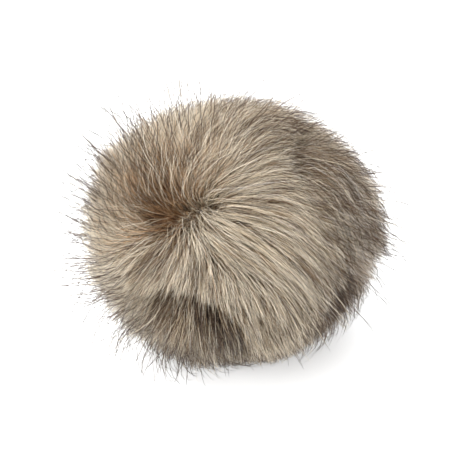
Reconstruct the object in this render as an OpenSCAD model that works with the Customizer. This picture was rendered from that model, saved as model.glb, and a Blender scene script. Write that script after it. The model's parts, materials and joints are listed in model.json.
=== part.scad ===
// Furry windscreen: a gored fur cover with a bound, elastic hem, drawn over a foam core
// that pushes onto a microphone head. It lies on its side-back as photographed: the crown,
// where the four gores meet, leans towards the viewer and the mouth points back and down.

/* [Ball] */
// Diameter over the combed pile
ball_d = 106; // [92:1:134]
// Depth that the pile is pressed flat where the ball rests
sit_depth = 4; // [1:0.5:5]
// Angle that the crown leans from upright towards the viewer
lean = 48; // [35:1:70]

/* [Foam core] */
// Outside diameter of the foam
foam_d = 60; // [48:1:72]
// Length of the foam from its mouth to the tip of its dome
foam_len = 68; // [58:1:84]
// Diameter of the bore that takes the microphone
bore_d = 40; // [20:1:48]
// Depth of the bore from the mouth
bore_depth = 48; // [30:1:58]
// Rounding of the foam's edges at the mouth
foam_edge_r = 2; // [0.5:0.5:4]

/* [Cloth] */
// Thickness of the mesh lining
lining_t = 0.6; // [0.3:0.1:1.2]
// Thickness of the knitted backing that carries the pile
backing_t = 1; // [0.6:0.1:1.6]
// Width of the gore's edge that is turned in at each seam
seam_allowance = 5; // [3:0.5:8]

/* [Hem] */
// Width of the elastic
elastic_w = 6; // [4:0.5:8]
// Thickness of the elastic
elastic_t = 1; // [0.6:0.1:1.4]
// Length over which the elastic's two ends are lapped and sewn
elastic_lap = 14; // [8:1:20]
// Thickness of the binding tape
binding_t = 0.5; // [0.3:0.1:1]
// Height of cloth edge that the folded binding takes in
edge_bite = 4; // [2:0.5:6]
// Distance of the hem's outer edge below the ball's surface
hem_inset = 5.6; // [5.5:0.1:9]

/* [Fits] */
// Room between the foam and the cover that slips over it
slip_gap = 0.3; // [0.2:0.05:0.6]
// Room between neighbouring plies of cloth
ply_gap = 0.15; // [0.1:0.05:0.3]
// Room around the elastic in its tunnel
tunnel_gap = 0.2; // [0.1:0.05:0.4]

/* [Hidden] */
$fn = 96;

// Four gores, named by where they lie when the crown is looked at
gore_angle = 90;
RIGHT = 0;
UPPER = 1;
LEFT = 2;
LOWER = 3;

// Radii of the plies, from the foam outwards
ball_r = ball_d / 2;
foam_r = foam_d / 2;
bore_r = bore_d / 2;
hem_in = foam_r + slip_gap;
lining_in = hem_in + binding_t + ply_gap;
lining_out = lining_in + lining_t;
allowance_in = lining_out + ply_gap;
backing_in = allowance_in + backing_t;
backing_out = backing_in + backing_t;
tunnel_out = max(backing_out + ply_gap, hem_in + binding_t + 2 * (elastic_t + tunnel_gap));
hem_out = tunnel_out + binding_t;
pile_mouth_r = hem_out + ply_gap;

// Heights along the axis from the ball's centre, with the crown on the plus side
mouth_z = -sqrt(pow(ball_r - hem_inset, 2) - pow(hem_out, 2));
cloth_edge_z = mouth_z + binding_t + elastic_w + 2 * tunnel_gap;
leg_top_z = cloth_edge_z + edge_bite;
dome_z = mouth_z + foam_len - foam_r;
cover_dome_z = dome_z + foam_r + slip_gap - lining_in;

// Larger than any piece, for cutting
beyond = 3 * ball_r;

// Right half of a bullet: a dome of radius r on a straight wall that runs down to foot_z
module bullet_half(r, centre_z, foot_z) {
    intersection() {
        union() {
            translate([0, centre_z]) circle(r);
            translate([0, foot_z]) square([r, centre_z - foot_z]);
        }
        translate([0, foot_z]) square([r, centre_z + r - foot_z]);
    }
}

// One ply of the cover, between two radii, down to foot_z
module ply_half(inner_r, outer_r, foot_z) {
    difference() {
        bullet_half(outer_r, cover_dome_z, foot_z);
        bullet_half(inner_r, cover_dome_z, foot_z);
    }
}

// A strip w wide and h tall whose two lower corners are rounded
module round_footed(w, h, r) {
    translate([0, r]) square([w, h - r]);
    translate([r, 0]) square([w - 2 * r, r]);
    for (x = [r, w - r]) translate([x, r]) circle(r);
}

// Tips the axis over and lifts the ball so that its pressed flat lies at z = 0
module lay_down() {
    translate([0, 0, ball_r - sit_depth]) rotate([lean, 0, 0]) children();
}

// Turns a gore, drawn from 0 to gore_angle, so that its middle points to its own side
module on_side(side) {
    rotate([0, 0, (side - 0.5) * gore_angle]) children();
}

// Foam thimble: domed tip, straight wall, blind bore with rounded mouth edges
module foam_core() {
    color("#34343a") lay_down() rotate_extrude() difference() {
        union() {
            bullet_half(foam_r, dome_z, mouth_z + foam_edge_r);
            translate([bore_r, mouth_z]) foam_lip();
        }
        translate([0, mouth_z - foam_edge_r])
            square([bore_r, bore_depth + foam_edge_r]);
    }
}

// The foam's end ring between bore and wall, rounded on both edges
module foam_lip() {
    round_footed(foam_r - bore_r, 2 * foam_edge_r, foam_edge_r);
}

// Mesh lining panel, which slides on the foam and ends inside the hem
module lining_gore(side) {
    color("#26262a") lay_down() on_side(side) rotate_extrude(angle = gore_angle)
        ply_half(lining_in, lining_out, cloth_edge_z);
}

// Fur panel: combed pile on its backing, with both long edges turned in at the seams
module fur_gore(side) {
    color("#b39c7c") difference() {
        lay_down() on_side(side) {
            rotate_extrude(angle = gore_angle) pile_half();
            seam_edges();
        }
        translate([-beyond / 2, -beyond / 2, -beyond]) cube(beyond);
    }
}

// Right half of the pile: the ball, less the cover's inside and the room for the hem
module pile_half() {
    difference() {
        intersection() {
            circle(ball_r);
            translate([0, -ball_r]) square([ball_r, 2 * ball_r]);
        }
        bullet_half(backing_in, cover_dome_z, cloth_edge_z);
        translate([0, -ball_r]) square([pile_mouth_r, ball_r + cloth_edge_z]);
        translate([backing_out, cloth_edge_z])
            square([pile_mouth_r - backing_out, edge_bite + ply_gap]);
    }
}

// The two strips of backing turned in beside a gore's seams
module seam_edges() {
    intersection() {
        rotate_extrude(angle = gore_angle)
            ply_half(allowance_in, backing_out, leg_top_z + ply_gap);
        union() {
            translate([0, 0, -beyond / 2]) cube([beyond, seam_allowance, beyond]);
            translate([0, 0, -beyond / 2]) cube([seam_allowance, beyond, beyond]);
        }
    }
}

// Binding tape folded round the cloth's edge, leaving a tunnel for the elastic
module hem_binding() {
    tape_h = leg_top_z - mouth_z;
    color("#1c1c1f") lay_down() rotate_extrude() translate([hem_in, mouth_z]) difference() {
        round_footed(hem_out - hem_in, tape_h, 2 * binding_t);
        translate([binding_t, binding_t])
            round_footed(tunnel_out - hem_in - binding_t, tape_h, binding_t);
    }
}

// Flat elastic in the tunnel, its ends lapped on the side away from the floor
module hem_elastic() {
    elastic_in = hem_in + binding_t + tunnel_gap;
    lap_angle = elastic_lap / (elastic_in + elastic_t) * 180 / PI;
    color("#d8d4cc") lay_down() translate([0, 0, mouth_z + binding_t + tunnel_gap]) {
        rotate_extrude() translate([elastic_in, 0]) square([elastic_t, elastic_w]);
        rotate([0, 0, UPPER * gore_angle - lap_angle / 2])
            rotate_extrude(angle = lap_angle) translate([elastic_in + elastic_t / 2, 0])
                square([elastic_t * 3 / 2, elastic_w]);
    }
}

foam_core();
lining_gore(RIGHT);  // lining_gore_right
lining_gore(UPPER);  // lining_gore_upper
lining_gore(LEFT);  // lining_gore_left
lining_gore(LOWER);  // lining_gore_lower
fur_gore(RIGHT);  // fur_gore_right
fur_gore(UPPER);  // fur_gore_upper
fur_gore(LEFT);  // fur_gore_left
fur_gore(LOWER);  // fur_gore_lower
hem_binding();
hem_elastic();
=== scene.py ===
# Looks of a furry windscreen: combed long pile on a sewn cover, its lining and hem, and the foam core
import json
import math

import bmesh
import bpy
import numpy as np
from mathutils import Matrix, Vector, noise
from mathutils.kdtree import KDTree


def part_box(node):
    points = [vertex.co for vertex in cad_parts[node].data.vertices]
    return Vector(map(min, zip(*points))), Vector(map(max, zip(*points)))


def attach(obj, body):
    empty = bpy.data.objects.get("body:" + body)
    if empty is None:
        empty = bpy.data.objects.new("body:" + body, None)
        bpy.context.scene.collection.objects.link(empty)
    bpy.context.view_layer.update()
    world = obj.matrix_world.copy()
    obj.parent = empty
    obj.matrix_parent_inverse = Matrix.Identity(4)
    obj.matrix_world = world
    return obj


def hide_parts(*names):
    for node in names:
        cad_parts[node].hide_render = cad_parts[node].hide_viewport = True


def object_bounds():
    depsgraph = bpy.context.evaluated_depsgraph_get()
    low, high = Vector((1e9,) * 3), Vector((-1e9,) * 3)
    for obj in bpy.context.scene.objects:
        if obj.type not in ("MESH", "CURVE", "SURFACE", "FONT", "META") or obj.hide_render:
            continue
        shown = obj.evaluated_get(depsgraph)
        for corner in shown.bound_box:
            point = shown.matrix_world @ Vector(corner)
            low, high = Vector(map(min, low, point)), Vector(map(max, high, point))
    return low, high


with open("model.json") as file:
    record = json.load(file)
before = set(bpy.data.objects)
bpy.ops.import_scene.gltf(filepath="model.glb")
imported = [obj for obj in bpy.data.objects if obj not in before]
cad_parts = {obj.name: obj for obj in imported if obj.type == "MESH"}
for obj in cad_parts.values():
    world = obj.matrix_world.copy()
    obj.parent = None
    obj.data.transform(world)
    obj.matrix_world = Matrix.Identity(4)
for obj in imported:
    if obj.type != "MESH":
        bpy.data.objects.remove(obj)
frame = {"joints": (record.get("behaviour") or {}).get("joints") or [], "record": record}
cad_low, cad_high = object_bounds()
scene = bpy.context.scene

MM = 0.001
rng = np.random.default_rng(10756)

# Axes of the cover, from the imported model: the ball's centre, and the way from its mouth to its crown
ball_r = (cad_high.x - cad_low.x) / 2
centre = np.array((0.0, 0.0, cad_high.z - ball_r))
crown = np.array(frame["joints"][0]["axis"])
across = np.array((1.0, 0.0, 0.0))
rise = np.cross(crown, across)

# Sizes of the foam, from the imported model
mounts = {m["name"]: m for m in frame["record"]["mounts"]}
foam_low, foam_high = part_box("foam_core")
foam_r = (foam_high.x - foam_low.x) / 2
bore_r = mounts["mic_bore"]["dims"]["r_mm"] * MM
bore_len = mounts["mic_bore"]["dims"]["length_mm"] * MM
bore_mid = float(np.dot(np.array(mounts["mic_bore"]["pos_m"]) - centre, crown))
FOAM_EDGE = 2 * MM
FOAM_WALL = 38 * MM
mouth_z = bore_mid - bore_len / 2 - FOAM_EDGE
bore_end_z = bore_mid + bore_len / 2
foam_dome_z = mouth_z + FOAM_WALL

# Plies of the cover, outwards from the foam, and heights along its axis
HEM_IN = foam_r + 0.3 * MM
LINING_MID = foam_r + 1.25 * MM
FOLD_MID = foam_r + 2.2 * MM
BACKING_MID = foam_r + 3.2 * MM
BACKING_OUT = foam_r + 3.7 * MM
TUNNEL_OUT = foam_r + 3.85 * MM
HEM_OUT = foam_r + 4.35 * MM
BACKING_T = 0.9 * MM
LINING_T = 0.5 * MM
TAPE_T = 0.5 * MM
SEAM_ALLOWANCE = 5 * MM
EDGE_BITE = 4 * MM
COVER_WALL = 37.35 * MM
ELASTIC_W = 6 * MM
ELASTIC_T = 1 * MM
ELASTIC_LAP = 14 * MM
TUNNEL_GAP = 0.2 * MM
cloth_edge_z = mouth_z + TAPE_T + ELASTIC_W + 2 * TUNNEL_GAP
hem_top_z = cloth_edge_z + EDGE_BITE
cover_dome_z = mouth_z + COVER_WALL
cloth_wall = cover_dome_z - cloth_edge_z
GORE = math.radians(90)
SIDES = {"right": 0.0, "upper": 0.5 * math.pi, "left": math.pi, "lower": 1.5 * math.pi}

# Camera, as the photograph was taken
CAM_AZIMUTH = math.radians(30)
CAM_ELEVATION = math.radians(32)
CAM_DISTANCE = 0.9
PHOTO_SIZE = 450
BALL_PX = (233.0, 236.0)
MM_PER_PX = 0.367
cam_right = np.array((math.cos(CAM_AZIMUTH), math.sin(CAM_AZIMUTH), 0.0))
cam_back = np.array((
    math.sin(CAM_AZIMUTH) * math.cos(CAM_ELEVATION),
    -math.cos(CAM_AZIMUTH) * math.cos(CAM_ELEVATION),
    math.sin(CAM_ELEVATION),
))
cam_up = np.cross(cam_back, cam_right)


def unit(v):
    return v / np.maximum(np.linalg.norm(v, axis=-1, keepdims=True), 1e-12)


def smooth(low, high, x):
    t = np.clip((x - low) / (high - low), 0, 1)
    return t * t * (3 - 2 * t)


def place(x, y, z):
    """Points given in the cover's own axes about the ball's centre, as vectors from that centre."""
    return x[..., None] * across + y[..., None] * rise + z[..., None] * crown


def around(r, turn, z):
    """Points at radius r, angle turn and height z about the cover's axis, in the frame."""
    r, turn, z = np.broadcast_arrays(r, turn, z)
    return centre + place(r * np.cos(turn), r * np.sin(turn), z)


def from_photo(px, py):
    """Direction from the ball's centre to the point of its surface seen at a pixel of the photograph."""
    x = (px - BALL_PX[0]) * MM_PER_PX * MM / ball_r
    y = (BALL_PX[1] - py) * MM_PER_PX * MM / ball_r
    depth = math.sqrt(max(1 - x * x - y * y, 0.0))
    return unit(x * cam_right + y * cam_up + depth * cam_back)


def off_degrees(e, spot):
    """Degrees between the directions e and one direction, or one for each of them."""
    return np.degrees(np.arccos(np.clip((e * spot).sum(-1), -1, 1)))


def near(e, spot, reach):
    """1 at a spot, less with the angle from it. reach is in degrees."""
    return np.exp(-0.5 * (off_degrees(e, spot) / reach) ** 2)


def spots(e, listed):
    """Sum of soft round spots at directions e, each given by its pixel in the photo, reach and height."""
    return sum(height * near(e, from_photo(px, py), reach) for px, py, reach, height in listed)


def share(e, listed):
    return np.clip(spots(e, listed), 0, 1)


def link(obj):
    scene.collection.objects.link(obj)
    return obj


# Whorl of the fur and the hollow beside it, by pixels of the photograph, and the combed surface's half-axes
WHORL = from_photo(193, 204), from_photo(166, 214)
HOLLOW = from_photo(158, 212)
SEMI_AXES = np.array((55.0, 54.5, 49.5)) * MM

# Lumps of the combed surface: pixel, reach in degrees, height in mm
LUMPS = [
    (293, 105, 6, 2.0),
    (110, 150, 14, 3.5),
    (372, 175, 20, 1.5),
    (362, 318, 12, -5.0),
    (320, 350, 12, -4.0),
    (245, 375, 16, -6.0),
    (158, 214, 6, -2.0),
    (232, 145, 5, -1.5),
    (250, 290, 14, 1.2),
]

# Low patches, whose pile lies under the ends of the pile round them: pixel, reach in degrees, drop in mm
LEDGE = [(145, 332, 25, 3), (184, 333, 26, 6), (351, 310, 30, 1.0), (320, 160, 18, 0.8)]

# Where the pile is sleek, upright, plush, dark or painted lighter or darker as light and shade, bristly,
# reddish or grey: pixel, reach in degrees, strength
SLEEK = [
    (205, 240, 14, 1.0), (250, 285, 15, 0.9), (245, 335, 12, 0.9),
    (160, 262, 11, 0.8), (235, 185, 12, 0.6), (275, 215, 11, 0.9),
]
ERECT = [
    (150, 165, 22, 1.0), (95, 225, 14, 0.8), (103, 272, 13, 0.6), (200, 120, 14, 0.5), (288, 108, 11, 0.5),
]
PLUSH = [
    (92, 258, 12, 1.0), (105, 302, 11, 1.0), (128, 335, 11, 0.9), (175, 115, 14, 0.8), (125, 140, 12, 0.6),
]
# Darker patches of the pile's own, with painted light and shade: the spot at the ball's lower edge is painted
# shade, and the negative ones lighten the left rim and the far right, partly as the pile's paler fluff and
# partly as painted light where the lamps leave it in shade
DARK_AND_PAINTED_LIGHT = [
    (318, 175, 14, 0.05),
    (285, 118, 12, 0.13),
    (148, 180, 12, 0.26),
    (158, 214, 6, 0.12),
    (151, 238, 6, 0.22),
    (135, 262, 7, 0.16),
    (245, 335, 12, 0.07),
    (97, 252, 14, -0.32),
    (108, 298, 10, -0.34),
    (120, 328, 9, -0.4),
    (238, 366, 6, 0.25),
    (125, 138, 10, -0.2),
    (175, 118, 11, -0.12),
    (364, 220, 15, -0.45),
]
# Darker pile in the low patches: partly the pile's own dark hair, partly painted shade under the pile that
# lies over them and along the ball's lower edge
LEDGE_DARK_AND_PAINTED_SHADE = [
    (196, 306, 6, 0.46), (209, 322, 6, 0.44), (221, 340, 6, 0.46), (228, 356, 6, 0.5),
    (158, 318, 15, 0.2), (334, 308, 11, 0.8), (345, 270, 9, 0.4), (318, 160, 13, 0.2),
]
BRISTLE = [
    (85, 210, 24, 1.0), (140, 125, 20, 0.8), (110, 310, 16, 0.9),
    (165, 360, 14, 0.6), (382, 225, 22, 0.6), (345, 318, 18, -1.0),
]
WARM = [(150, 175, 16, 0.55), (160, 213, 7, 0.7), (146, 242, 7, 0.18)]
COOL = [(365, 230, 16, 0.4), (349, 309, 14, 0.8), (215, 345, 10, 0.4), (310, 150, 16, 0.25)]

# Ways that the pile is combed: pixel, and angle in the picture in degrees
COMB = [
    (100, 245, 125), (112, 210, 130), (130, 180, 112), (160, 150, 95), (200, 130, 82),
    (165, 178, 85), (240, 135, 48), (215, 165, 50), (260, 160, 32), (300, 130, 325),
    (330, 165, 318), (355, 200, 310), (292, 160, 335), (308, 195, 328), (330, 240, 315), (310, 280, 312),
    (150, 242, 205), (135, 268, 218), (165, 280, 240), (190, 280, 262), (130, 312, 222),
    (165, 335, 243), (200, 345, 268), (112, 285, 190), (240, 320, 285), (280, 320, 300),
    (232, 207, 2), (225, 228, 328), (212, 240, 300), (262, 250, 318),
]
COMB_REACH = 11
DOWN = np.array((0.0, 0.0, -1.0))


def tangent(v, e):
    """The part of v that lies along the ball's surface at direction e."""
    return v - (e * v).sum(-1, keepdims=True) * e


def inside_ledge(root):
    """Degrees that a root lies inside the nearest low patch's edge, below 0 outside all of them."""
    return np.max([reach - off_degrees(root, from_photo(px, py)) for px, py, reach, _ in LEDGE], axis=0)


LEDGE_EDGE = 1.5
LEDGE_RISE = 0.75
LEDGE_RISE_FROM, LEDGE_RISE_TO = 6, 20


def ledge_drop(root):
    """How far a root's pile lies below the rest: most just inside a low patch's edge, less further in."""
    most = np.zeros(len(root))
    for px, py, reach, drop in LEDGE:
        inside = reach - off_degrees(root, from_photo(px, py))
        down = smooth(-LEDGE_EDGE, LEDGE_EDGE, inside)
        regained = LEDGE_RISE * smooth(LEDGE_RISE_FROM, LEDGE_RISE_TO, inside)
        most = np.maximum(most, drop * MM * down * (1 - regained))
    return most


def envelope(e, root):
    """Distance from the ball's centre to the combed surface in directions e, for strands from given roots."""
    return 1 / np.linalg.norm(e / SEMI_AXES, axis=-1) + spots(e, LUMPS) * MM - ledge_drop(root)


def whorl_by(e):
    """The point of the whorl's short line that is closest to direction e."""
    first, last = WHORL
    line = last - first
    along = np.clip((e - first) @ line / np.dot(line, line), 0, 1)
    return unit(first + along[:, None] * line)


def flow(e):
    """The way the pile is combed at direction e: away from the whorl, down at the sides, as photographed."""
    whorl = whorl_by(e)
    sag = 0.75 * smooth(35, 95, off_degrees(e, WHORL[0]))
    way = 0.1 * unit(unit(tangent(-whorl, e)) + sag[:, None] * tangent(DOWN, e))
    for px, py, angle in COMB:
        a = math.radians(angle)
        weight = near(e, from_photo(px, py), COMB_REACH)
        way += weight[:, None] * unit(tangent(math.cos(a) * cam_right + math.sin(a) * cam_up, e))
    way += 1.2 * near(e, whorl, 6)[:, None] * unit(tangent(-whorl, e))
    return unit(way)


def roots(count):
    """Evenly spread points on the cover's backing, from crown to hem, and their angles about its axis."""
    order = np.arange(count) + 0.5
    top = cover_dome_z + BACKING_OUT
    z = top - order / count * (top - hem_top_z) + rng.normal(0, 0.15 * MM, count)
    z = np.clip(z, hem_top_z, top - 0.001 * MM)
    turn = order * math.pi * (3 - math.sqrt(5)) + rng.normal(0, 0.01, count)
    r = np.sqrt(np.maximum(BACKING_OUT**2 - np.maximum(z - cover_dome_z, 0) ** 2, 0))
    return place(r * np.cos(turn), r * np.sin(turn), z), turn % (2 * math.pi)


def grow(points, steps, travel, depth, sweep, turn, overhang):
    """Curves of strands from their roots: each rises to the combed surface and lies over along the flow.

    overhang is how many degrees a strand may reach over the ledge's edge.
    """
    path = [unit(points)]
    lie = 1.2 + 1.6 * near(path[0], whorl_by(path[0]), 8)
    to_ledge = -inside_ledge(path[0])
    room = np.radians(np.where(to_ledge > 0, np.maximum(to_ledge + overhang, 9), 90))
    travel = np.minimum(travel, room)
    start = np.linalg.norm(points, axis=1)
    for low, high in zip(steps[:-1], steps[1:]):
        e = path[-1]
        way = flow(e)
        beside = np.cross(e, way)
        way = way * np.cos(turn)[:, None] + beside * np.sin(turn)[:, None]
        swing = (travel * (high**lie - low**lie))[:, None]
        path.append(unit(e * np.cos(swing) + way * np.sin(swing)))
    path = np.stack(path, 1)
    reach = np.maximum(envelope(path[:, 2], path[:, 0]) * depth, start + 4 * MM)
    rho = start[:, None] + (reach - start)[:, None] * (1 - (1 - steps[None, :]) ** sweep[:, None])
    return rho[..., None] * path, beside


def bundles(points, count):
    """For each root, the strand in the middle of the bundle that it grows in."""
    chosen = rng.choice(len(points), count, replace=False)
    tree = KDTree(count)
    for i, k in enumerate(chosen):
        tree.insert(points[k], i)
    tree.balance()
    return chosen[[tree.find(p)[1] for p in points]]


def gather(curves, middle, pull, steps):
    """Draws strands towards the middle of their bundle, more so near their tips."""
    weight = pull[:, None, None] * (steps**1.3)[None, :, None]
    return curves + weight * (curves[middle] - curves)


def frizz(curves, beside, steps, amount):
    """Gives each strand a slight wave of its own, growing towards its tip."""
    phase = rng.uniform(0, 2 * math.pi, (2, len(curves), 1))
    pace = rng.uniform(4, 9, (len(curves), 1))
    sway = amount[:, None] * steps[None, :] ** 1.5
    side = (sway * np.sin(pace * steps[None, :] + phase[0]))[..., None] * beside[:, None]
    lift = (0.6 * sway * np.sin(pace * steps[None, :] + phase[1]))[..., None] * unit(curves)
    return curves + side + lift


REACH = 1.06 * ball_r + 9.5 * MM
OFF_HEM = 0.3 * MM
UNDER_HEM = 2.5 * MM
UNDER_MOUTH = 1 * MM


def keep_clear(curves):
    """Keeps strands above the floor, out of the mouth and within the size that the pile may have."""
    z = curves @ crown
    radial = curves - z[..., None] * crown
    r = np.linalg.norm(radial, axis=-1)
    least = np.where(z < hem_top_z, HEM_OUT + OFF_HEM, 0)
    least = np.where(z < mouth_z - UNDER_MOUTH, HEM_OUT - UNDER_HEM, least)
    curves = curves + radial * (np.maximum(least / np.maximum(r, 1e-9), 1) - 1)[..., None]
    lift = rng.uniform(0.25, 0.9, len(curves))
    root = curves[:, :1]
    tip_at, root_at = np.abs(curves).max((1, 2)), np.abs(root).max((1, 2))
    room = (REACH - root_at) / (tip_at - root_at)
    short = np.where(tip_at > REACH, room * (0.75 + 0.25 * lift), 1)
    curves = root + short[:, None, None] * (curves - root)
    curves[..., 2] = np.maximum(curves[..., 2], lift[:, None] * MM - centre[2])
    return curves


TINTS = ("#ffdec0", "#fffbf6", "#ecebf3")
REDDISH, PLAIN, GREY = range(3)
TONE_WIDTH = 0.0015


def strand_mesh(name, curves, beside, radius, profile, steps, tone, tint, fade):
    """One mesh of closed three-sided strands, whose map holds tint and tone across and length upwards.

    fade is how much of the map's length a strand leaves out at its root.
    """
    count, rings = curves.shape[0], curves.shape[1] - 1
    along = unit(np.gradient(curves, axis=1))
    one = unit(beside[:, None] - (beside[:, None] * along).sum(-1, keepdims=True) * along)
    two = np.cross(along, one)
    spin = rng.uniform(0, 2 * math.pi, count)
    thick = radius[:, None] * profile[None, :]
    corners = []
    for k in range(3):
        a = spin + k * 2 * math.pi / 3
        out = np.cos(a)[:, None, None] * one + np.sin(a)[:, None, None] * two
        corners.append((curves + thick[..., None] * out)[:, :rings])
    corners = np.stack(corners, 2).reshape(count, rings * 3, 3)
    verts = np.concatenate([corners, curves[:, -1:]], 1) + centre
    per = rings * 3 + 1
    u = np.array((-1.0, 0.0, 1.0)) * TONE_WIDTH
    faces, maps = [[2, 1, 0]], [[(u[2], 0), (u[1], TONE_WIDTH), (u[0], 0)]]
    for ring in range(rings):
        for k in range(3):
            n = (k + 1) % 3
            low, high = ring * 3, ring * 3 + 3
            v, w = steps[ring], steps[ring + 1]
            if ring < rings - 1:
                faces.append([low + k, low + n, high + n, high + k])
                maps.append([(u[k], v), (u[n], v), (u[n], w), (u[k], w)])
            else:
                faces.append([low + k, low + n, per - 1])
                maps.append([(u[k], v), (u[n], v), (u[k] / 2 + u[n] / 2, w)])
    sizes = np.array([len(f) for f in faces])
    flat = np.concatenate([np.array(f) for f in faces])
    first = np.concatenate([[0], np.cumsum(sizes)[:-1]])
    each = np.arange(count)[:, None]
    mesh = bpy.data.meshes.new(name)
    mesh.vertices.add(count * per)
    mesh.vertices.foreach_set("co", verts.astype(np.float32).ravel())
    mesh.loops.add(count * len(flat))
    mesh.loops.foreach_set("vertex_index", (flat[None] + each * per).ravel().astype(np.int32))
    mesh.polygons.add(count * len(sizes))
    mesh.polygons.foreach_set("loop_start", (first[None] + each * len(flat)).ravel().astype(np.int32))
    mesh.update(calc_edges=True)
    mesh.polygons.foreach_set("use_smooth", np.ones(count * len(sizes), bool))
    uv = np.repeat(np.concatenate([np.array(f) for f in maps])[None], count, 0)
    uv[..., 0] += (tint + tone)[:, None] / len(TINTS)
    uv[..., 1] = 1 - (1 - uv[..., 1]) * (1 - np.broadcast_to(fade, count))[:, None]
    mesh.uv_layers.new(name="OFBake").uv.foreach_set("vector", uv.astype(np.float32).ravel())
    mesh.validate()
    return link(bpy.data.objects.new(name, mesh))


class Nodes:
    """The node tree of a material or of the world, with short calls to add nodes to it."""

    def __init__(self, name, kind="materials", shader="Principled BSDF"):
        self.material = getattr(bpy.data, kind).new(name)
        self.material.use_nodes = True
        self.tree = self.material.node_tree
        self.shader = self.tree.nodes[shader]

    def join(self, socket, value):
        if isinstance(value, bpy.types.NodeSocket):
            self.tree.links.new(value, socket)
        else:
            socket.default_value = value

    def add(self, kind, inputs=(), **settings):
        node = self.tree.nodes.new("ShaderNode" + kind)
        for key, value in settings.items():
            setattr(node, key, value)
        for key, value in dict(inputs).items():
            self.join(node.inputs[key], value)
        return node

    def set(self, key, value):
        self.join(self.shader.inputs[key], value)

    def ramp(self, factor, stops, interpolation="LINEAR"):
        node = self.add("ValToRGB", {"Fac": factor})
        node.color_ramp.interpolation = interpolation
        marks = node.color_ramp.elements
        while len(marks) < len(stops):
            marks.new(0.5)
        for mark, (at, code) in zip(marks, stops):
            mark.position = at
            mark.color = srgb(code)
        return node.outputs["Color"]

    def span(self, value, low, high, to_low=0.0, to_high=1.0):
        ends = {"From Min": low, "From Max": high, "To Min": to_low, "To Max": to_high}
        node = self.add("MapRange", {"Value": value, **ends}, interpolation_type="SMOOTHSTEP")
        return node.outputs["Result"]

    def math(self, operation, a, b=0.0):
        return self.add("Math", {0: a, 1: b}, operation=operation).outputs[0]

    def mix(self, factor, a, b, blend="MIX"):
        return self.add("Mix", {"Factor": factor, 6: a, 7: b}, data_type="RGBA", blend_type=blend).outputs[2]

    def noise(self, scale, detail=2.0):
        where = self.add("TexCoord").outputs["Object"]
        return self.add("TexNoise", {"Vector": where, "Scale": scale, "Detail": detail}).outputs["Fac"]

    def seen(self):
        """1 where the camera sees a surface, also in a reflection or through glass, and 0 otherwise."""
        rays = self.add("LightPath").outputs
        seen = self.math("MAXIMUM", rays["Is Camera Ray"], rays["Is Glossy Ray"])
        return self.math("MAXIMUM", seen, rays["Is Transmission Ray"])

    def bump(self, height, strength, distance):
        node = self.add("Bump", {"Height": height, "Strength": strength, "Distance": distance})
        self.set("Normal", node.outputs["Normal"])


def srgb(code):
    """Linear colour of a hex code."""
    parts = [int(code[i:i + 2], 16) / 255 for i in (1, 3, 5)]
    return [c / 12.92 if c <= 0.04045 else ((c + 0.055) / 1.055) ** 2.4 for c in parts] + [1.0]


def fur_material():
    """Pile: brown roots, paler shafts and tips that are darkest on dark strands, by tint and tone."""
    m = Nodes("fur")
    uv = m.add("SeparateXYZ", {"Vector": m.add("UVMap", uv_map="OFBake").outputs["UV"]})
    across_map, along = uv.outputs["X"], uv.outputs["Y"]
    tone = m.math("FRACT", m.math("MULTIPLY", across_map, float(len(TINTS))))
    root = m.ramp(tone, [(0.0, "#2a1e18"), (0.5, "#6b4b37"), (1.0, "#8a6548")])
    shaft = m.ramp(tone, [
        (0.0, "#38281d"), (0.25, "#7b634c"), (0.5, "#bea98b"), (0.75, "#e4d8c2"), (1.0, "#fbf5e8"),
    ])
    tip = m.ramp(tone, [
        (0.0, "#130e0b"), (0.25, "#3c2d21"), (0.45, "#9d876a"), (0.65, "#d8ccb2"), (1.0, "#fbf5e8"),
    ])
    body = m.mix(m.span(along, 0.02, 0.45), root, shaft)
    body = m.mix(m.span(along, 0.7, 0.96), body, tip)
    tint = m.ramp(across_map, [(i / len(TINTS), code) for i, code in enumerate(TINTS)], "CONSTANT")
    m.set("Base Color", m.mix(1.0, body, tint, "MULTIPLY"))
    m.set("Roughness", m.span(along, 0.0, 1.0, 0.6, 0.4))
    m.set("Specular IOR Level", 0.4)
    return m.material


def knit_material(name, dark, light, wale, strength):
    """Knitted or woven cloth: rows of loops along its weave map, with painted shade between the loops and
    uneven dye.
    """
    m = Nodes(name)
    uv = m.add("UVMap", uv_map="weave").outputs["UV"]
    rows = {"Vector": uv, "Scale": 1 / (6.28 * wale), "Distortion": 0.6, "Detail": 1.0}
    across_rows = m.add("TexWave", rows, bands_direction="X").outputs["Fac"]
    along_rows = m.add("TexWave", rows, bands_direction="Y").outputs["Fac"]
    loops = m.math("MULTIPLY", across_rows, along_rows)
    # Painted shade between the loops, with uneven dye from the noise
    dye_and_painted_shade = m.math("ADD", m.math("MULTIPLY", loops, 0.7), m.math("MULTIPLY", m.noise(180.0), 0.3))
    m.set("Base Color", m.ramp(dye_and_painted_shade, [(0.1, dark), (0.8, light)]))
    m.set("Roughness", m.span(loops, 0.0, 1.0, 0.95, 0.75))
    m.bump(loops, strength, wale)
    return m.material


def foam_material():
    """Open-cell foam: matt charcoal with painted shade in its pores and paler cell walls."""
    m = Nodes("foam")
    where = m.add("TexCoord").outputs["Object"]
    cells = m.add("TexVoronoi", {"Vector": where, "Scale": 1100.0}).outputs["Distance"]
    pores = m.math("ADD", cells, m.math("MULTIPLY", m.noise(900.0, 3.0), 0.4))
    # Painted shade in the pores, paler on the cell walls
    m.set("Base Color", m.ramp(pores, [(0.25, "#17171a"), (0.55, "#34343a"), (0.95, "#53535b")]))
    m.set("Roughness", m.span(pores, 0.2, 0.9, 1.0, 0.82))
    m.bump(pores, 0.7, 0.4 * MM)
    return m.material


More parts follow.
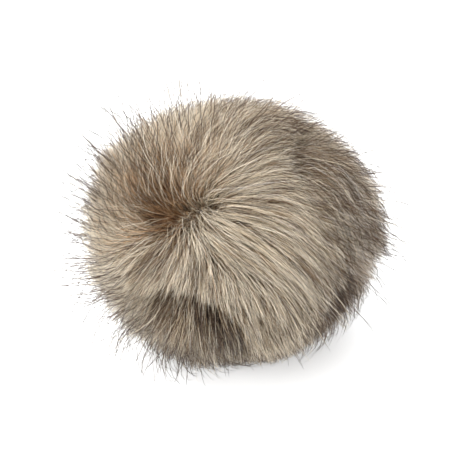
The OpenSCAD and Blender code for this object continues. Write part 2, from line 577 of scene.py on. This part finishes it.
def mesh_piece(name, verts, faces, uvs, material, body, nodes=()):
    """A smooth mesh with a weave map in metres, which rides on a body."""
    mesh = bpy.data.meshes.new(name)
    mesh.from_pydata(verts.tolist(), [], faces)
    layer = mesh.uv_layers.new(name="weave")
    flat = np.array([i for f in faces for i in f])
    layer.uv.foreach_set("vector", uvs[flat].astype(np.float32).ravel())
    mesh.polygons.foreach_set("use_smooth", np.ones(len(faces), bool))
    mesh.materials.append(material)
    obj = link(bpy.data.objects.new(name, mesh))
    return carry(obj, body, nodes)


def carry(obj, body, nodes=()):
    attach(obj, body)
    if nodes:
        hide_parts(*nodes)
    return obj


def grid_faces(rows, cols, close_rows=False, close_cols=False):
    faces = []
    for i in range(rows if close_rows else rows - 1):
        for j in range(cols if close_cols else cols - 1):
            n, k = (i + 1) % rows, (j + 1) % cols
            faces.append((i * cols + j, i * cols + k, n * cols + k, n * cols + j))
    return faces


def thicken(obj, thickness):
    skin = obj.modifiers.new("thickness", "SOLIDIFY")
    skin.thickness = thickness
    skin.offset = 0


def ply_points(q, turn, t):
    """Points of a ply of radius q at share t of the way from the cloth's edge to the crown, and that way."""
    climb = t * (cloth_wall + LINING_MID * math.pi / 2)
    lift = np.clip((climb - cloth_wall) / LINING_MID, 0, math.pi / 2)
    r = q * np.cos(lift)
    z = np.where(climb < cloth_wall, cloth_edge_z + climb, cover_dome_z + q * np.sin(lift))
    return around(r, turn, z), climb


# Fur in three layers: where each strand grows and of what kind it is
STRANDS = 104000
TUFTS, LOCKS, WISPS = 1000, 5200, 44000
LAYERS = ("under", "middle", "over")
fur = fur_material()
steps = np.array((0.0, 0.28, 0.56, 0.82, 1.0))
profile = np.array((1.0, 0.95, 0.78, 0.42, 0.0))
points, turn_of = roots(STRANDS)
layer_of = np.array(LAYERS)[rng.integers(0, len(LAYERS), STRANDS)]
over = (layer_of == "over") | ((layer_of == "middle") & (rng.random(STRANDS) < 0.3))
ways = unit(points)
up = share(ways, ERECT)
rough = 1 - share(ways, SLEEK)
plush = share(ways, PLUSH)
swirl = near(ways, whorl_by(ways), 8)
crest = np.clip(near(ways, whorl_by(ways), 4) + near(ways, HOLLOW, 6), 0, 1)
stands = crest * (rng.random(STRANDS) < 0.65)
fluff = rng.random(STRANDS) < 0.17 + 0.2 * swirl + 0.1 * rough
long_share = (0.07 + 0.11 * (1 - rough)) * (1 - up) * (1 - crest)
long_hair = over & ~fluff & (rng.random(STRANDS) < long_share)
tuft = bundles(points, TUFTS)
lock = bundles(points, LOCKS)
wisp = bundles(points, WISPS)


def varied(each, by_lock, by_tuft, by_wisp=0):
    """Random numbers with a share for each strand, each lock, each tuft and each wisp."""
    draws = rng.normal(0, 1, (4, STRANDS))
    return each * draws[0] + by_lock * draws[1][lock] + by_tuft * draws[2][tuft] + by_wisp * draws[3][wisp]


def between(low, high):
    return rng.uniform(low, high, STRANDS)


# How far each strand reaches over the ball in radians, and how high against the combed surface
OVER_TRAVEL, UNDER_TRAVEL, ERECT_TRAVEL = 0.6, 0.44, 0.35
travel = np.where(over, OVER_TRAVEL, UNDER_TRAVEL)
travel = travel * (1 + varied(0.14 + 0.12 * rough, 0.06, 0.12)) * (1 - 0.3 * rough)
travel = travel * (1 - (1 - ERECT_TRAVEL) * up) * (1 - 0.4 * crest) * (1 - 0.85 * stands)
travel = travel * np.where(fluff, 0.7, 1)
depth = 1 + varied(0.015 + 0.012 * rough, 0.01 + 0.015 * up, 0.025 + 0.012 * up)
depth = depth - np.abs(rng.normal(0, 1, STRANDS)) * np.where(over, 0.01 + 0.02 * rough, 0.09)
depth = np.where(fluff, between(0.98, 1.08), depth)
depth = np.where(long_hair, between(1.01, 1.045), depth)
travel = np.where(long_hair, between(0.6, 0.85), travel)

# How soon each strand lies over, and how far it strays from the flow in radians
sweep = between(2.2, 4.5) * (1 - rough) + between(1.3, 2.4) * rough
sweep = np.where(over, sweep * (1 - up) + between(1.1, 1.7) * up, between(1.2, 2.2))
sweep = np.where(fluff, 1.3, np.where(long_hair, between(3.5, 6.0), sweep))
astray = 0.3 * fluff + 0.36 * rough + 0.9 * crest
stray = varied(0.1, 0.08 + 0.14 * up, 0.15) * (1 + up) * (1 - 0.6 * swirl)
stray = (stray + astray * varied(1, 0, 0)) * np.where(long_hair, 0.4 + 0.3 * rough, 1)
overhang = 4 + varied(2, 2, 3)
curves, beside = grow(points, steps, travel, depth, sweep, stray, overhang)

# Strands drawn together into locks, tufts and wisps, then waved
loose = (1 - 0.8 * fluff) * (1 - 0.8 * long_hair) * (1 - 0.8 * swirl) * (1 - 0.55 * rough * (1 - 0.6 * up))
pull = np.clip(rng.normal(0.5, 0.2, STRANDS), 0, 0.9) * loose
curves = gather(curves, lock, pull, steps)
curves = gather(curves, tuft, between(0.2, 0.6) * loose, steps)
curves = gather(curves, wisp, between(0.5, 1.0) * (1 - 0.7 * up) * (1 - 0.6 * rough) * ~long_hair, steps)
wave = (0.2 + 0.2 * rough + 0.2 * up) * MM * rng.random(STRANDS)
curves = keep_clear(frizz(curves, beside, steps, wave))

# Tone, tint and thickness of each strand
PLAIN_TONE = 0.715
LEAST_TONE, MOST_TONE = 0.03, 0.97
tips = unit(curves[:, 3])
# Tone by place: the pile's own dark patches, with painted shade and painted light among them
dark_and_painted_light = spots(tips, DARK_AND_PAINTED_LIGHT) + spots(tips, LEDGE_DARK_AND_PAINTED_SHADE) * (inside_ledge(ways) > 0)
tone = varied(0.16 + 0.1 * rough, 0.06 + 0.07 * up, 0.04 + 0.03 * up, 0.26 * (1 - rough)) * (1 - 0.5 * plush)
tone = tone + PLAIN_TONE + 0.03 * rough - dark_and_painted_light
grizzled = rng.random(STRANDS) < (0.16 + 0.18 * rough) * (1 - 0.85 * up) * (1 - 0.7 * plush)
tone = np.where(grizzled, tone - between(0.3, 0.7), tone)
dark_hair = rng.random(STRANDS) < 0.45 + 0.35 * rough
long_tone = np.where(dark_hair, between(0.05, 0.3), between(0.8, 0.97) - 1.5 * dark_and_painted_light.clip(0))
tone = np.clip(np.where(long_hair, long_tone, tone), LEAST_TONE, MOST_TONE)
hue = rng.random(STRANDS)
tint = np.where(hue > 1 - spots(tips, COOL), GREY, PLAIN)
tint = np.where(hue < spots(tips, WARM), REDDISH, tint)
tone = np.where(tint == REDDISH, (tone - 0.1).clip(LEAST_TONE), tone)
radius = rng.normal(0.105, 0.022, STRANDS).clip(0.06, 0.16) * MM
radius = radius * np.where(fluff, 0.42, 1) * np.where(long_hair, 0.8, 1)
radius = radius * (1 - 0.3 * up) * (1 - 0.1 * rough) * (1 - 0.25 * plush)

# Guard hairs, long, thin and mostly dark: some lie over the rest and some stand out from it
GUARDS = 7000
GUARD_OVERHANG = 6
guard_steps = np.array((0.0, 0.25, 0.5, 0.75, 0.9, 1.0))
guard_profile = np.array((1.0, 1.0, 1.0, 0.9, 0.6, 0.0))
guard_points, guard_turn = roots(GUARDS)
guard_ways = unit(guard_points)
guard_up = share(guard_ways, ERECT)
guard_sleek = share(guard_ways, SLEEK)
guard_plush = share(guard_ways, PLUSH)
bristle = np.clip(spots(guard_ways, BRISTLE), -1, 1)
lying = rng.random(GUARDS) < 0.84 - 0.34 * bristle
guard_travel = np.where(lying, 0.55, 0.4) * (1 - 0.5 * guard_up) * rng.normal(1, 0.2, GUARDS)
low_side = smooth(0.2, 0.7, -guard_ways[:, 2])
standing = (0.07 + 0.3 * rng.random(GUARDS) ** (2 - bristle)) * (1 - 0.75 * low_side * (1 - bristle))
guard_depth = 1 + np.where(lying, rng.uniform(0, 0.05, GUARDS), standing * (1 - 0.9 * guard_sleek))
guard_sweep = np.where(lying, rng.uniform(1.8, 3.2, GUARDS), rng.uniform(1.1, 1.8, GUARDS))
guard_stray = rng.normal(0, 0.38, GUARDS) * (1 - 0.8 * guard_sleek)
guards, guard_beside = grow(
    guard_points, guard_steps, guard_travel, guard_depth, guard_sweep, guard_stray, GUARD_OVERHANG,
)
guard_wave = np.where(lying, 0.4, 0.15) * MM * rng.random(GUARDS)
guards = keep_clear(frizz(guards, guard_beside, guard_steps, guard_wave))
pale_share = (0.05 + 0.6 * guard_sleek + 0.25 * guard_up) * (1 - 0.9 * bristle) + 0.7 * guard_plush * lying
guard_pale = rng.random(GUARDS) < pale_share
guard_tone = np.where(guard_pale, rng.uniform(0.7, 0.95, GUARDS), rng.uniform(0.02, 0.14, GUARDS))
guard_radius = rng.uniform(0.06, 0.09, GUARDS) * MM
guard_radius = guard_radius * np.where(lying, 1, 1.35) * np.where(guard_pale, 0.85, 1)

# The pile's meshes, a gore at a time
for side, middle in SIDES.items():
    node = f"fur_gore_{side}"
    mine = np.cos(turn_of - middle) >= math.cos(GORE / 2)
    made = []
    for layer in LAYERS:
        pick = mine & (layer_of == layer)
        made.append(strand_mesh(
            f"fur_{side}_{layer}", curves[pick], beside[pick], radius[pick],
            profile, steps, tone[pick], tint[pick], 0.4 * swirl[pick],
        ))
    pick = np.cos(guard_turn - middle) >= math.cos(GORE / 2)
    made.append(strand_mesh(
        f"guard_hair_{side}", guards[pick], guard_beside[pick], guard_radius[pick],
        guard_profile, guard_steps, guard_tone[pick], PLAIN, 0.0,
    ))
    for piece in made:
        piece.data.materials.append(fur)
        carry(piece, "cover", [node])

# Backing of each gore, with its long edges turned in at the seams
CROWN_STOP = 0.998
SEAM_GAP = 0.4 * MM
WIDEST_FOLD, WIDEST_GAP = math.radians(30), math.radians(3)
backing = knit_material("backing", "#3a2b22", "#6b5442", 0.45 * MM, 0.6)
for side, middle in SIDES.items():
    t = np.linspace(0, CROWN_STOP, 64)[:, None]
    seam, _ = ply_points(BACKING_MID, 0.0, t[:, 0])
    row_r = np.maximum(np.linalg.norm(np.cross(seam - centre, crown), axis=1), 1e-6)[:, None]
    fold = np.minimum(SEAM_ALLOWANCE / row_r, WIDEST_FOLD)
    gap = np.minimum(SEAM_GAP / row_r, WIDEST_GAP)
    main = np.linspace(-1, 1, 40)[None] * (GORE / 2 - gap)
    fold_in = GORE / 2 - fold * np.linspace(1, 0.08, 6)[None]
    bend = np.full((len(t), 1), GORE / 2 - 1e-3)
    cols = np.concatenate([-fold_in, -bend, main, bend, fold_in[:, ::-1]], 1)
    q_main = np.full(main.shape, BACKING_MID)
    q_fold = np.full(fold_in.shape, FOLD_MID)
    q_bend = np.full(bend.shape, (FOLD_MID + BACKING_MID) / 2)
    q = np.concatenate([q_fold, q_bend, q_main, q_bend, q_fold], 1)
    verts, climb = ply_points(q, middle + cols, t)
    climb = np.broadcast_to(climb, q.shape)
    uvs = np.stack([cols * BACKING_MID, climb], -1)
    piece = mesh_piece(
        f"backing_{side}", verts.reshape(-1, 3), grid_faces(*q.shape), uvs.reshape(-1, 2),
        backing, "cover", [f"fur_gore_{side}"],
    )
    thicken(piece, BACKING_T)

# Lining panels, which meet edge to edge
LINING_GAP = math.radians(0.15)
lining = knit_material("lining", "#0f0f11", "#3c3c42", 0.55 * MM, 0.9)
for side, middle in SIDES.items():
    t = np.linspace(0, CROWN_STOP, 72)[:, None]
    cols = np.linspace(-1, 1, 56)[None] * (GORE / 2 - LINING_GAP) + 0 * t
    q = np.full(cols.shape, LINING_MID)
    verts, climb = ply_points(q, middle + cols, t)
    climb = np.broadcast_to(climb, q.shape)
    uvs = np.stack([cols * LINING_MID, climb], -1)
    piece = mesh_piece(
        f"lining_{side}", verts.reshape(-1, 3), grid_faces(*q.shape), uvs.reshape(-1, 2),
        lining, "cover", [f"lining_gore_{side}"],
    )
    thicken(piece, LINING_T)


def ring_piece(name, profile_r, profile_z, count, material, body, slot, nodes, shift):
    """A closed section swept once round the cover's axis. shift moves each point outwards."""
    turn = np.arange(count) / count * 2 * math.pi
    r = profile_r[None] + shift(turn[:, None], profile_r[None], profile_z[None])
    verts = around(r, turn[:, None], profile_z[None] + 0 * r)
    run = np.concatenate([[0], np.cumsum(np.hypot(np.diff(profile_r), np.diff(profile_z)))])
    uvs = np.stack(np.broadcast_arrays(turn[:, None] * HEM_OUT, run[None]), -1)
    faces = grid_faces(count, len(profile_r), True, True)
    return mesh_piece(name, verts.reshape(-1, 3), faces, uvs.reshape(-1, 2), material, body, nodes)


def spaced(points, gap):
    """A closed outline's points at about even distances."""
    points = np.array(points)
    points = np.concatenate([points, points[:1]])
    run = np.concatenate([[0], np.cumsum(np.linalg.norm(np.diff(points, axis=0), axis=1))])
    at = np.linspace(0, run[-1], max(int(run[-1] / gap), 8), endpoint=False)
    return np.interp(at, run, points[:, 0]), np.interp(at, run, points[:, 1])


def corner(r, z, radius, start, end):
    """Points of a rounded corner about (r, z), between two angles in degrees."""
    a = np.radians(np.linspace(start, end, 6))
    return [(r + radius * math.cos(x), z + radius * math.sin(x)) for x in a]


# Binding tape folded round the cloth's edge, drawn into small ripples between its stitches
STITCHES = 62
RIPPLE = 0.35 * MM
TAPE_TURNS = 8 * STITCHES
tape = knit_material("binding", "#0b0b0c", "#2d2d31", 0.35 * MM, 0.7)
bend_out, bend_in = 2 * TAPE_T, TAPE_T
outline = [(HEM_IN, hem_top_z)]
outline += corner(HEM_IN + bend_out, mouth_z + bend_out, bend_out, 180, 270)
outline += corner(HEM_OUT - bend_out, mouth_z + bend_out, bend_out, 270, 360)
outline += [(HEM_OUT, hem_top_z), (TUNNEL_OUT, hem_top_z)]
outline += corner(TUNNEL_OUT - bend_in, mouth_z + TAPE_T + bend_in, bend_in, 360, 270)
outline += corner(HEM_IN + TAPE_T + bend_in, mouth_z + TAPE_T + bend_in, bend_in, 270, 180)
outline += [(HEM_IN + TAPE_T, hem_top_z)]


def ripples(turn, r, z):
    """How far the tape's outer leaf bulges between stitches, most where nothing draws it in."""
    outside = smooth(TUNNEL_OUT - 0.6 * MM, TUNNEL_OUT, r)
    drawn = smooth(hem_top_z - 1.5 * MM, mouth_z + 4 * MM, z)
    return outside * RIPPLE * (0.5 - 0.5 * np.cos(STITCHES * turn)) * (0.3 + 0.7 * drawn)


binding = ring_piece("binding_tape", *spaced(outline, 0.4 * MM), TAPE_TURNS, tape, "cover", "binding",
                     ["hem_binding"], ripples)


def tubes(name, paths, radius, material, body):
    """Short closed threads, one along each path, rounded off at both ends."""
    sides, ends = 6, np.array((0.35, 0.9, 1.0, 1.0, 1.0, 0.9, 0.35))
    verts, faces, uvs = [], [], []
    for path in paths:
        along = unit(np.gradient(path, axis=0))
        out = unit(path - centre)
        one = unit(np.cross(along, out))
        two = np.cross(along, one)
        base = len(verts)
        for i, point in enumerate(path):
            for k in range(sides):
                a = 2 * math.pi * k / sides
                verts.append(point + radius * ends[i] * (math.cos(a) * one[i] + math.sin(a) * two[i]))
                uvs.append((k * radius, i * radius * 2))
        rows = len(path)
        faces += [tuple(base + i for i in f) for f in grid_faces(rows, sides, False, True)]
        faces.append(tuple(base + k for k in range(sides))[::-1])
        faces.append(tuple(base + (rows - 1) * sides + k for k in range(sides)))
    return mesh_piece(name, np.array(verts), faces, np.array(uvs), material, body)


STITCH_SHARE = 0.72
STITCH_DIP = 0.25 * MM
THREAD_R = 0.16 * MM


def stitch_row(r, z, dip):
    """Paths of running stitches round the axis, whose ends dip into the cloth."""
    s = np.linspace(-0.5, 0.5, 7)
    sink = -dip * (2 * s) ** 4
    return [
        around(r + sink, (k + STITCH_SHARE * s) * 2 * math.pi / STITCHES, z + 0 * s)
        for k in range(STITCHES)
    ]


thread = knit_material("thread", "#1c1c1f", "#46464c", 0.15 * MM, 0.4)
stitch_paths = stitch_row(HEM_OUT + 0.12 * MM, hem_top_z - 1.2 * MM, STITCH_DIP)
stitch_paths += stitch_row(HEM_OUT + 0.1 * MM, cloth_edge_z + 0.6 * MM, STITCH_DIP)
stitch_paths += stitch_row(HEM_IN + 0.02 * MM, hem_top_z - 1.2 * MM, -STITCH_DIP)
tubes("hem_stitches", stitch_paths, THREAD_R, thread, "cover")

# Elastic: one flat strip whose ends lap, with ribs along it
ELASTIC_RIBS = 6
RIB_DEPTH = 0.18
elastic = knit_material("elastic", "#a49f95", "#e0dcd2", 0.4 * MM, 0.8)
elastic_r = HEM_IN + TAPE_T + TUNNEL_GAP + ELASTIC_T / 2
lap = ELASTIC_LAP / elastic_r
strip = np.linspace(0, 2 * math.pi + lap, 300)
shift = (ELASTIC_T + 0.05 * MM) * smooth(2 * math.pi - 0.6, 2 * math.pi - 0.1, strip)
ribs = np.linspace(0, 1, 31)
face = ELASTIC_T / 2 * (1 - RIB_DEPTH + RIB_DEPTH * np.cos(2 * math.pi * ELASTIC_RIBS * ribs))
section_r = np.concatenate([face, -face[::-1]])
section_z = mouth_z + TAPE_T + TUNNEL_GAP + ELASTIC_W * np.concatenate([ribs, ribs[::-1]])
strip_turn = math.pi / 2 - lap / 2 + strip
verts = around(elastic_r + shift[:, None] + section_r[None], strip_turn[:, None], section_z[None])
size = len(section_r)
faces = grid_faces(len(strip), size, False, True)
faces.append(tuple(range(size))[::-1])
faces.append(tuple(range((len(strip) - 1) * size, len(strip) * size)))
uvs = np.stack(np.broadcast_arrays(strip[:, None] * elastic_r, section_z[None]), -1)
mesh_piece("elastic_band", verts.reshape(-1, 3), faces, uvs.reshape(-1, 2), elastic, "cover",
           ["hem_elastic"])

# Foam core: a revolved thimble with open pores pressed into its skin
FOAM_ROWS, FOAM_TURNS = 250, 300
PORE = 1.5 * MM
PORE_DEPTH = 0.45 * MM
outline = [(0.0, bore_end_z), (bore_r, bore_end_z)]
outline += corner(bore_r + FOAM_EDGE, mouth_z + FOAM_EDGE, FOAM_EDGE, 180, 270)
outline += corner(foam_r - FOAM_EDGE, mouth_z + FOAM_EDGE, FOAM_EDGE, 270, 360)
outline += [(foam_r, foam_dome_z)]
dome = np.linspace(0.05, math.pi / 2, 30)
outline += [(foam_r * math.cos(a), foam_dome_z + foam_r * math.sin(a)) for a in dome]
outline = np.array(outline)
run = np.concatenate([[0], np.cumsum(np.linalg.norm(np.diff(outline, axis=0), axis=1))])
at = np.linspace(0, run[-1], FOAM_ROWS)
foam_rr, foam_zz = np.interp(at, run, outline[:, 0]), np.interp(at, run, outline[:, 1])
slope = unit(np.stack([np.gradient(foam_rr), np.gradient(foam_zz)], -1))
inward = np.stack([-slope[:, 1], slope[:, 0]], -1)
turn = np.arange(FOAM_TURNS) / FOAM_TURNS * 2 * math.pi
at_rest = around(foam_rr[:, None], turn[None], foam_zz[:, None])
pits = np.array([
    noise.voronoi(Vector(p / PORE))[0][0] + 0.25 * noise.noise(Vector(p / (3 * PORE)))
    for p in at_rest.reshape(-1, 3)
]).reshape(at_rest.shape[:2])
pits = PORE_DEPTH * (1 - smooth(0.15, 0.55, pits)) * smooth(0, 2 * MM, foam_rr)[:, None]
foam_r_of = foam_rr[:, None] + pits * inward[:, :1]
foam_z_of = foam_zz[:, None] + pits * inward[:, 1:]
verts = around(foam_r_of, turn[None], foam_z_of)
uvs = np.stack(np.broadcast_arrays(turn[None] * foam_r, at[:, None]), -1)
foam = mesh_piece("foam_body", verts.reshape(-1, 3), grid_faces(len(at), FOAM_TURNS, False, True),
                  uvs.reshape(-1, 2), foam_material(), "core", ["foam_core"])
shape = bmesh.new()
shape.from_mesh(foam.data)
bmesh.ops.remove_doubles(shape, verts=shape.verts, dist=1e-6)
bmesh.ops.recalc_face_normals(shape, faces=shape.faces)
shape.to_mesh(foam.data)
shape.free()

# Floor, with a painted shadow: its glow is dim near the point under the ball where the shadow falls, and
# bright further out
FLOOR_HALF = 3.0
FLOOR_PAINTED_SHADOW_AT = (0.009, 0.02, 0.0)
FLOOR_PAINTED_SHADOW_GLOW, FLOOR_PAINTED_SHADOW_TO = 0.22, 0.012
FLOOR_BRIGHT, FLOOR_BRIGHT_FROM = 0.72, 0.045


def floor_material():
    m = Nodes("floor")
    where = m.add("TexCoord").outputs["Object"]
    out = m.add("VectorMath", {0: where, 1: FLOOR_PAINTED_SHADOW_AT}, operation="DISTANCE").outputs["Value"]
    # Glow dimmed near the ball as a painted shadow, full further out
    floor_glow_with_painted_shadow = m.span(out, FLOOR_PAINTED_SHADOW_TO, FLOOR_BRIGHT_FROM, FLOOR_PAINTED_SHADOW_GLOW, FLOOR_BRIGHT)
    m.set("Base Color", m.ramp(m.noise(3.0), [(0.3, "#eaeaea"), (0.7, "#eeeeee")]))
    m.set("Roughness", 0.9)
    m.set("Specular IOR Level", 0.0)
    m.set("Emission Color", [1, 1, 1, 1])
    m.set("Emission Strength", m.math("MULTIPLY", m.seen(), floor_glow_with_painted_shadow))
    return m.material


mesh = bpy.data.meshes.new("floor")
edge = (-FLOOR_HALF, FLOOR_HALF)
mesh.from_pydata([(x, y, 0) for x in edge for y in edge], [], [(0, 2, 3, 1)])
mesh.materials.append(floor_material())
link(bpy.data.objects.new("floor", mesh))

# Studio light: a white world that shows bright and lights softly, and three round lamps
WORLD_LIGHT, WORLD_SEEN = 0.36, 1.0
scene.view_settings.view_transform = "Standard"
world = Nodes("studio", "worlds", "Background")
world.set("Color", (1, 1, 1, 1))
world.set("Strength", world.span(world.seen(), 0, 1, WORLD_LIGHT, WORLD_SEEN))
scene.world = world.material


def lamp(name, left, back, height, size, watts):
    """A round lamp aimed at the ball, so many metres left of it, behind it and up, as the camera sees it."""
    data = bpy.data.lights.new(name, "AREA")
    data.shape = "DISK"
    data.size = size
    data.energy = watts
    obj = link(bpy.data.objects.new(name, data))
    behind = np.array((-cam_back[0], -cam_back[1], 0)) / math.cos(CAM_ELEVATION)
    where = Vector(-left * cam_right + back * behind + np.array((0, 0, height)))
    obj.location = where
    obj.rotation_mode = "QUATERNION"
    obj.rotation_quaternion = (Vector(centre) - where).to_track_quat("-Z", "Y")


lamp("key", 0.6, -0.25, 1.05, 0.6, 17.5)
lamp("fill", -0.95, -0.35, 0.35, 0.8, 9)
lamp("rim", 0.55, 0.8, 0.6, 0.8, 7)

# Camera
camera_data = bpy.data.cameras.new("camera")
camera = link(bpy.data.objects.new("camera", camera_data))
scene.camera = camera
camera_data.sensor_width = 36.0
camera_data.lens = camera_data.sensor_width * CAM_DISTANCE / (PHOTO_SIZE * MM_PER_PX * MM)
camera_data.clip_start = 0.01
shift_x, shift_y = PHOTO_SIZE / 2 - BALL_PX[0], BALL_PX[1] - PHOTO_SIZE / 2
aim = centre + MM_PER_PX * MM * (shift_x * cam_right + shift_y * cam_up)
camera.location = Vector(aim + CAM_DISTANCE * cam_back)
camera.rotation_mode = "QUATERNION"
camera.rotation_quaternion = Vector(-cam_back).to_track_quat("-Z", "Y")
